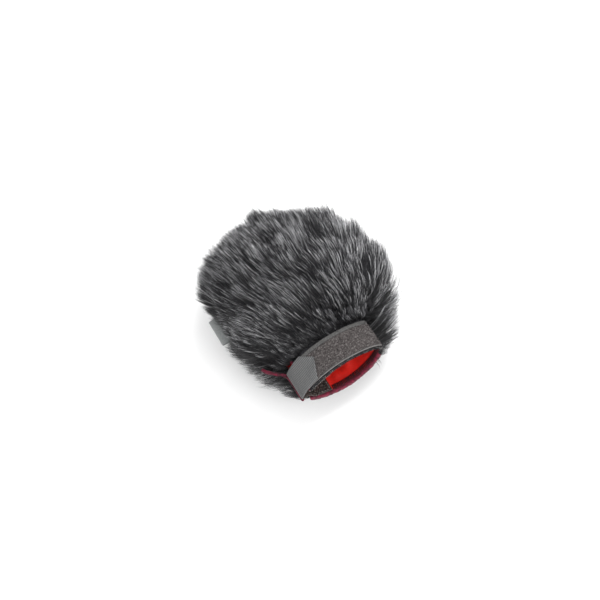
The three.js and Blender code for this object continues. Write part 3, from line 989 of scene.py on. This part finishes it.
def lining_sheet(name, node, front, low_angle, high_angle, seed):
    """A satin half of the pocket, with soft folds that lift off the fur's backing."""
    swell = CAVITY_DEPTH - (CAVITY_DEPTH - NECK_LENGTH) * np.cos(np.linspace(0, math.pi / 2, 60)[1:]) ** 1.6
    depths = np.concatenate([np.linspace(front, NECK_LENGTH, 30), swell])[:, None]
    share = np.linspace(0, 1, 110)[None]
    high = high_angle(depths) if callable(high_angle) else high_angle
    angles = lerp(low_angle, high, share)
    folds = Ripples(seed, 17, 7)
    creases = Ripples(seed + 1, 8, 7)
    flat = surface(depths, angles, 0.0)
    drawn = flat * np.array([1.0, 0.45, 1.0])
    right_of_strap = smoothstep((flat[..., 0] - BASE_HIGH[0] - 1) / 8)
    behind_strap = smoothstep((depths - STRAP_BACK) / 8)
    deep = np.maximum(right_of_strap, behind_strap) * smoothstep((depths - RIM_WIDTH - 4) / 12)
    lift = 0.7 + 0.4 * creases(drawn) + deep * (1.0 + 1.7 * folds(drawn))
    fade = smoothstep((depths - front) / 9) * smoothstep((CAVITY_DEPTH - depths) / 12)
    lift = -np.clip(lift, 0, lerp(1.6, 4.5, deep)) * fade
    cloth = shell(surface(depths, angles, LINING + lift), surface(depths, angles, lift))
    obj = piece(name, cloth, SATIN, "lining", node)


def make_linings():
    lining_sheet("lining_top_satin", "lining_top_panel", UPPER_RIM_WIDTH, EDGE, slit_edge, 31)
    lining_sheet("lining_bottom_satin", "lining_bottom_panel", RIM_WIDTH, EDGE - math.pi, -EDGE, 35)


# ---- bands round the neck

def band(low_angle, high_angle, front, back, inner, outer, columns, rows, relief=None, rounding=0.5):
    """A closed band round the neck between two layers. relief(run, depth) stands over its outer face."""
    angles = np.linspace(low_angle, high_angle, columns)
    depths = np.linspace(front, back, rows)[:, None]
    middle = surface(0.0, angles, outer)
    run = run_of(middle)[None]
    from_side = np.minimum(depths - front, back - depths)
    from_end = np.minimum(run, run[:, -1:] - run)
    drop = eased(np.minimum(from_side, from_end), rounding)
    extra = relief(run, depths) if relief else 0.0
    face = outer - drop + extra
    return shell(surface(depths, angles[None], face), surface(depths, angles[None], inner + drop * 0.5))


def neck_path(low_angle, high_angle, depth, grown, count=160):
    """Points round the neck in one layer, and the directions out of it."""
    angles = np.linspace(low_angle, high_angle, count)
    return surface(depth, angles, grown), outward(np.full(count, 1.0), angles, grown)


RIB = 1.15  # of the knitted elastics
COLLAR_RELIEF = 0.16


def make_collar():
    def ribs(run, depth):
        return COLLAR_RELIEF * np.cos(2 * math.pi * run / RIB)

    high = angle_at(SLIT_X + 2 * GAP, BACKING, 1)
    front, back = UPPER_RIM_WIDTH, FUR_FRONT + 4
    collar = band(EDGE, high, front, back, BACKING, COLLAR_FACE - COLLAR_RELIEF, 420, 24, ribs)
    piece("collar_knit", collar, KNIT, "knit", "collar_band")


TIP_TURN = 0.36  # angle that the rims keep from the neck's tips
OVERLOCK_PITCH = 1.3


def make_upper_rim():
    """The overlocked edge of the upper lip: a core, the thread loops over it, and a pale running thread."""
    rng = np.random.default_rng(41)
    low, high = -TIP_TURN, angle_at(SLIT_X, 0.0, 1)
    core = band(low, high, 0.35, UPPER_RIM_WIDTH, 0.25, COLLAR_FACE - 0.25, 160, 10, rounding=0.9)
    piece("rim_upper_core", core, KNIT, "knit", "rim_elastic_upper")
    length = run_of(neck_path(low, high, 0.0, 1.0)[0])[-1]
    # One loop's way from the inside over the edge, as layers and depths.
    grown = np.array([0.05, 0.0, 0.1, 0.7, 1.3, 1.95, 2.15, 2.1])
    depth = np.array([2.9, 1.6, 0.5, 0.05, 0.0, 0.5, 1.6, 2.9])
    loops = []
    for share in np.arange(0.4, length, OVERLOCK_PITCH) / length:
        angle = lerp(low, high, share) + rng.normal(0, 0.003)
        lean = np.linspace(-0.012, 0.012, len(grown)) * rng.uniform(0.5, 1.5)
        path = surface(depth + rng.normal(0, 0.06), angle + lean, grown)
        loops.append(tube(path, rng.uniform(0.36, 0.46), 7))
    piece("rim_upper_overlock", joined(loops), OVERLOCK, "knit")
    path, up = neck_path(1.9, high, -0.12, 0.35)
    row = stitch_row(path, unit(up * -0.4 + np.array([0, -1, 0])), EDGE_STITCH)
    piece("rim_upper_edge_stitches", row, PALE_THREAD, "thread")


def make_lower_rim():
    """The ribbed elastic inside the lower lip, the crimson binding round its edge, and its stitches."""
    rng = np.random.default_rng(42)
    low = angle_at(BASE_HIGH[0] + 2 * GAP, 0, -1)
    ribs = []
    angles = np.linspace(low, -0.16, 420)
    centre = surface(0.0, angles, -0.45)
    total = run_of(centre)[-1]
    for run in np.arange(0.6, total, RIB):
        angle = np.interp(run, np.linspace(0, total, len(angles)), angles)
        depths = np.linspace(RIM_WIDTH - 0.8, RIM_WIDTH + 3.2, 9)
        bulge = -0.35 - 0.35 * np.sin(np.linspace(0, math.pi, 9)) ** 0.5
        lean = np.linspace(-0.008, 0.008, 9) + rng.normal(0, 0.002)
        ribs.append(tube(surface(depths, angle + lean, bulge), rng.uniform(0.42, 0.52), 7))
    piece("rim_lower_elastic", joined(ribs), MAROON, "knit", "rim_elastic_lower")

    puckers = Ripples(43, 3.2, 8)
    path, up = neck_path(TIP_TURN - 0.05 - math.pi, -TIP_TURN, RIM_WIDTH / 2, COLLAR_FACE / 2, 260)
    path = path + up * 0.16 * puckers(path)[:, None]
    places, faces = sweep(path, up, 1.55, 1.75, 22, 2.4)
    places = places + 0.10 * np.sin(places @ np.array([2.1, 1.3, 1.7]))[:, None] * np.array([0, -1.0, 0.4])
    piece("rim_binding_tape", (places, faces), CRIMSON, "binding", "rim_binding")

    path, up = neck_path(TIP_TURN - math.pi + 0.1, -TIP_TURN - 0.1, RIM_WIDTH / 2 + 0.6, -0.62)
    row = stitch_row(path, -up, BINDING_STITCH)
    piece("rim_binding_stitches", row, RED_THREAD, "red_thread", "rim_binding_thread")


# ---- slit bindings

SLIT_OUT = 3.4  # how far the lower binding stands out beside the strap's fold
SLIT_STRAIGHT = 22.0  # depth to which it does so


def make_slit_bindings():
    """Crimson tape folded over both edges of the slit."""
    depth = np.linspace(0.3, SLIT_LENGTH - 0.6, 120)
    low_x, high_x = SLIT_LOW[0], SLIT_HIGH[0]
    edge_width = COLLAR_FACE + BINDING
    widened = smoothstep((depth - SLIT_STRAIGHT) / (SLIT_LENGTH - SLIT_STRAIGHT))
    lean = lerp(SLIT_OUT, high_x - edge_width - low_x, widened)
    wave = Ripples(51, 5.5, 6)
    level = np.full(len(depth), (SLIT_LOW[2] + SLIT_HIGH[2]) / 2)
    path = np.stack([high_x - edge_width / 2 - lean, RIM_Y + depth, level], -1)
    path[:, 2] += 0.18 * wave(path)
    tape = sweep(path, [0, 0, 1], edge_width / 2, 1.3)
    piece("slit_lower_tape", tape, CRIMSON, "binding", "slit_binding_lower")

    angles = slit_edge(depth, 1.15)
    path = surface(depth, angles, COLLAR_FACE / 2)
    up = outward(depth, angles, COLLAR_FACE / 2)
    path = path - unit(np.cross([0, 1, 0], up)) * 0.9
    path[:, 2] += 0.15 * wave(path + 9)
    path[:, 2] = np.maximum(path[:, 2], SEAM_Z + 2.4)
    piece("slit_upper_tape", sweep(path, up, 1.2, 1.75), CRIMSON, "binding", "slit_binding_upper")


# ---- loop tape

LOOP_SELVAGE = 3.4
LOOP_BORDER = 0.7  # plain strip along the front edge


def fibres(rng, root, way, steps, turn, sink=0.0):
    """Short crooked fibres of three random steps that set off in given directions."""
    count = len(root)
    line = [root]
    for _ in range(3):
        line.append(line[-1] + way * rng.uniform(*steps, (count, 1)))
        way = unit(way + rng.normal(0, turn, (count, 3)) - sink)
    return np.stack(line, 1)


def depth_row(angle, front, back, grown, out, stitch):
    """Stitches along the bag at one angle. out is 1 on an outer face and -1 on an inner one."""
    angles = np.full(30, angle)
    path = surface(np.linspace(front, back, 30), angles, grown)
    return stitch_row(path, out * outward(np.full(30, 1.0), angles, grown), stitch)


def make_loop_tape():
    """Loop tape: a fuzzy face between a smooth selvage and a narrow border, sewn on all round."""
    rng = np.random.default_rng(61)
    low, high = 0.15, angle_at(LOOP_LOW[0] + 0.4, LOOP_BACK, 1)
    face_back = LOOP_END - LOOP_SELVAGE
    pile = Ripples(62, 1.5, 12)

    def relief(run, depth):
        from_border = depth - LOOP_FRONT - LOOP_BORDER
        on_face = smoothstep(from_border / 0.5) * smoothstep((face_back - depth) / 0.5)
        place = np.stack(np.broadcast_arrays(run, depth, 0.0), -1)
        groove = np.exp(-((depth - face_back) / 0.35) ** 2)
        return on_face * (0.10 + 0.10 * pile(place)) - 0.30 * groove

    cloth = band(low, high, LOOP_FRONT, LOOP_END, LOOP_BACK, LOOP_FACE - 0.2, 300, 110, relief, 0.4)
    mesh = piece("loop_tape_cloth", cloth, LOOP, "loop", "loop_tape").data
    mesh.materials.append(SELVAGE)
    for polygon in mesh.polygons:
        depth = polygon.center.y * MM - RIM_Y
        polygon.material_index = int(depth > face_back or depth < LOOP_FRONT + LOOP_BORDER)

    count = 11000
    angle = low + (high - low) * rng.random(count)
    depth = rng.uniform(LOOP_FRONT + 0.9, face_back - 0.2, count)
    root = surface(depth, angle, LOOP_FACE - 0.25)
    normal = outward(np.full(count, 1.0), angle, LOOP_FACE)
    way = unit(normal * 0.8 + rng.normal(0, 0.7, (count, 3)))
    line = fibres(rng, root, way, (0.16, 0.34), 0.8, normal * 0.25)
    clusters = Ripples(63, 2.2, 12)
    shade = np.clip(0.5 + 0.2 * clusters(root) + rng.normal(0, 0.17, count), 0.01, 0.99)
    radius = rng.uniform(0.05, 0.09, (count, 1)) * np.array([[1, 1, 0.9, 0.5]])
    strands("loop_tape_fuzz", line, radius, shade, LOOP_FUZZ)

    path, up = neck_path(low, high, LOOP_FRONT + 0.05, LOOP_FACE - 0.45, 300)
    path = path + 0.05 * np.sin(np.arange(300) * 0.9)[:, None] * up
    piece("loop_tape_edge_cord", tube(path, 0.17, 8), PALE_THREAD, "thread")
    front = LOOP_FRONT + 1.1
    parts = []
    for depth, grown in ((front, LOOP_FACE - 0.12), (face_back + 0.1, LOOP_FACE - 0.42)):
        path, up = neck_path(low + 0.06, high - 0.03, depth, grown)
        parts.append(stitch_row(path, up, TAPE_STITCH))
    for angle in (low + 0.075, high - 0.06):
        parts.append(depth_row(angle, front, face_back, LOOP_FACE - 0.1, 1, TAPE_STITCH))
    piece("loop_tape_stitches", joined(parts), DARK_THREAD, "thread", "loop_tape_thread")


# ---- strap


def map_strap(mesh, rows, columns, turn_row):
    """Gives the strap's faces their materials and map: u along the tape, v across it, face by face.

    The first grid's face has hooks. The second one's has ribs, and so have the edges from turn_row on.
    """
    count = len(rows) * columns
    along = np.repeat(rows / rows[-1], columns)
    across = np.tile(np.linspace(0.01, 0.46, columns), len(rows))
    layer = mesh.uv_layers.new(name="OFBake")
    for polygon in mesh.polygons:
        sides = {vertex >= count for vertex in polygon.vertices}
        beyond = min(vertex % count for vertex in polygon.vertices) >= turn_row * columns
        polygon.material_index = int(sides == {True} or beyond and True in sides)
        for corner, vertex in zip(polygon.loop_indices, polygon.vertices):
            v = across[vertex % count] + 0.5 * (vertex >= count)
            if len(sides) == 2:
                v = 0.98 + 0.01 * (vertex >= count)
            layer.data[corner].uv = (along[vertex % count], v)


def strap_shift(run, fold_run):
    """How far the strap's base lies from the CAD's place along Y: nearer the rim, most at the fold."""
    return -1.2 - 2.1 * smoothstep(run / fold_run)


def make_strap():
    """One woven tape with a pointed end. Its hooks face up inside the lip, and its ribs are on its back."""
    line = strap_line()
    run = run_of(line)
    total = run[-1]
    fold_run = run[np.argmin(line[:, 0])]
    rows = np.concatenate([np.arange(0, fold_run - 3, 0.45), np.arange(fold_run - 3, total, 0.14)])
    places = read(line, run, rows)
    tangent = unit(np.gradient(places, axis=0))
    face_side = np.stack([tangent[:, 1], -tangent[:, 0]], -1)  # towards the hooks
    tail_run = rows - fold_run
    middle = (STRAP_FRONT + STRAP_BACK) / 2
    half = (STRAP_BACK - STRAP_FRONT) / 2
    peak = 0.24  # of the point, from the middle towards the crown, in half widths
    front_corner, back_corner = total - 6.4, total - 9.6
    low = -1 + (1 + peak) * np.clip((rows - front_corner) / (total - front_corner), 0, 1)
    high = 1 - (1 - peak) * np.clip((rows - back_corner) / (total - back_corner), 0, 1)
    share = np.linspace(0, 1, 48)[None]
    across = lerp(low[:, None], high[:, None], share)
    shift = strap_shift(rows, fold_run) + 0.07 * np.maximum(tail_run, 0)
    depth = middle + half * across + shift[:, None]
    ribs = 0.18 * np.cos(2 * math.pi * rows / RIB_PITCH) * smoothstep((rows - fold_run + 2) / 1.5)
    rough = Ripples(71, 1.3, 12)
    spread = np.stack(np.broadcast_arrays(places[:, :1], RIM_Y + depth, places[:, 1:]), -1)
    edge = eased(np.minimum(share, 1 - share) * 2 * half, 0.45)
    slack = 0.35 * np.sin(share * math.pi * 2.2 + 0.6) * smoothstep((tail_run[:, None] - 4) / 14)
    hooks = STRAP_HALF - edge + 0.10 * rough(spread)
    backs = STRAP_HALF - edge + ribs[:, None]
    sideways = np.stack([face_side[:, 0], np.zeros(len(rows)), face_side[:, 1]], -1)[:, None]
    hook_grid = spread + sideways * (hooks - slack)[..., None]
    back_grid = spread - sideways * (backs + slack)[..., None]
    woven = shell(hook_grid, back_grid)
    obj = piece("strap_woven", woven, HOOK_FACE, "hook", "strap_base", "strap_tail", body=None)
    obj.data.flip_normals()  # so that they point outwards
    obj.data.materials.append(HOOK_BACK)
    map_strap(obj.data, rows, share.shape[1], int(np.argmax(rows > fold_run)))
    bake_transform(obj)

    rng = np.random.default_rng(72)
    count = 3600
    seat = rng.uniform(0.2, fold_run - 6, count)
    spot, where = read(line, run, seat), rng.uniform(-0.96, 0.96, count)
    side = read(face_side, rows, seat)
    normal = unit(np.stack([side[:, 0], np.zeros(count), side[:, 1]], -1))
    depth = middle + half * where + strap_shift(seat, fold_run)
    root = np.stack([spot[:, 0], RIM_Y + depth, spot[:, 1]], -1) + normal * (STRAP_HALF - 0.1)
    way = unit(normal + rng.normal(0, 0.4, (count, 3)))
    strand = fibres(rng, root, way, (0.2, 0.36), 0.7)
    shade = np.clip(0.45 + 0.2 * Ripples(73, 2.0, 12)(root) + rng.normal(0, 0.25, count), 0.01, 0.99)
    radius = rng.uniform(0.06, 0.11, (count, 1)) * np.array([[1, 1, 0.9, 0.6]])
    strands("strap_hooks", strand, radius, shade, HOOK_FUZZ)

    face = BASE_MIDDLE - STRAP_HALF - 0.12
    first = angle_at(BASE_HIGH[0] - 1.3, BASE_MIDDLE, -1)
    last = angle_at(SLIT_X + 2, BASE_MIDDLE, -1)
    back = STRAP_BACK - 3.2
    parts = [depth_row(angle, STRAP_FRONT - 0.3, back, face, -1, STRAP_STITCH) for angle in (first, last)]
    for depth in (STRAP_FRONT - 0.2, back):
        path, up = neck_path(last, first, depth, face)
        parts.append(stitch_row(path, -up, STRAP_STITCH))
    piece("strap_base_stitches", joined(parts), PALE_THREAD, "thread", "strap_base_thread")


# ---- label

LABEL_SHORTER = 2.6  # than the CAD's label


def make_label():
    """A plain woven ribbon folded double, its two leaves a little apart."""
    root_x = LABEL_HIGH[0]
    long = root_x - LABEL_LOW[0] - LABEL_SHORTER
    outline = (  # share of the length, and height over the seam plane
        (0.0, 0.35),
        (0.3, 0.75),
        (0.62, 1.15),
        (0.90, 0.95),
        (1.0, 0.1),
        (0.92, -0.75),
        (0.62, -1.05),
        (0.3, -0.7),
        (0.0, -0.35),
    )
    line = rounded([(root_x - long * x, SEAM_Z + z) for x, z in outline])
    run = run_of(line)
    spot = read(line, run, np.linspace(0, run[-1], 150))
    tangent = unit(np.gradient(spot, axis=0))
    side = np.stack([tangent[:, 1], np.zeros(len(spot)), -tangent[:, 0]], -1)[:, None]
    share = np.linspace(-1, 1, 40)[None]
    wide = (LABEL_HIGH[1] - LABEL_LOW[1]) / 2
    y = (LABEL_HIGH[1] + LABEL_LOW[1]) / 2 + wide * share
    out = np.clip((root_x - spot[:, :1]) / long, 0, 1)
    curl = 0.9 * out ** 2 * share ** 2 - 0.5 * out * share
    grid = np.stack(np.broadcast_arrays(spot[:, :1], y, spot[:, 1:] + curl), -1)
    weave = 0.05 * np.cos(2 * math.pi * y / 0.7)
    edge = eased((1 - np.abs(share)) * wide, 0.2)
    half = (0.27 - edge + weave)[..., None]
    ribbon = shell(grid - side * half, grid + side * half)
    obj = piece("label_ribbon", ribbon, LABEL, "label", "label", body="label")
    y = np.linspace(LABEL_LOW[1] + 1.5, LABEL_HIGH[1] - 1.5, 40)
    path = np.stack(np.broadcast_arrays(root_x - 2.4, y, SEAM_Z + 1.12), -1)
    row = stitch_row(path, np.array([0, 0, 1.0]), LABEL_STITCH)
    piece("label_stitches", row, PALE_THREAD, "thread", "label_thread", body="label")


def make_seam_thread():
    """The thread that joins the fur panels, round the crown from the right of the collar to the slit."""
    right = CAVITY_DEPTH - (CAVITY_DEPTH - FUR_FRONT - 5) * np.cos(np.linspace(0, math.pi / 2, 200)) ** 1.5
    left = right[right > SLIT_LENGTH + 4][::-1]
    grown = BACKING + 1.3
    path = np.concatenate([surface(right, 0.0, grown), surface(left[1:], math.pi, grown)])
    up = np.concatenate([outward(right, 0.0, grown), outward(left[1:], math.pi, grown)])
    row = stitch_row(path, up, SEAM_STITCH)
    piece("panel_seam_stitches", row, DARK_THREAD, "thread", "panel_seam_thread")


make_camera()
make_studio()
make_fur()
make_seam_thread()
make_linings()
make_collar()
make_upper_rim()
make_lower_rim()
make_slit_bindings()
make_loop_tape()
make_strap()
make_label()
